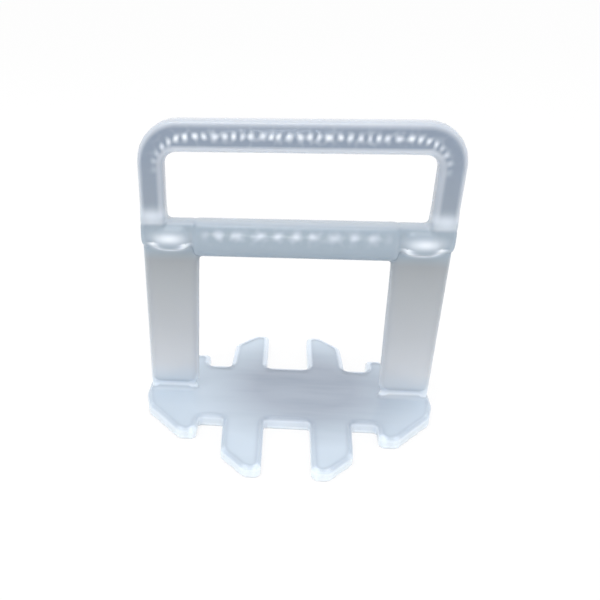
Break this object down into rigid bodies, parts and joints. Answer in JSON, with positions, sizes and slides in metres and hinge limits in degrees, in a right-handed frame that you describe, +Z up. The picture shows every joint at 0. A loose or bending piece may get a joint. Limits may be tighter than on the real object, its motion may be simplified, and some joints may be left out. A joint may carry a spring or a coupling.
{
  "type": "tile levelling clip",
  "caption": "Moulded tile levelling clip: comb base plate, snap-off uprights beside a wedge window, cross bar and handle loop above.",
  "frame": {"origin": "middle of the comb plate's flat underside", "axes": "+X across the clip along its cross bar, +Y from front to back through the wedge window, +Z up from the plate to the handle"},
  "size_m": [0.041, 0.0362, 0.0399],
  "materials": {
    "polypropylene": "natural unpigmented polypropylene, milky and translucent, moulded"
  },
  "bodies": {
    "root": {"levelling_clip": "polypropylene"}
  },
  "joints": []
}
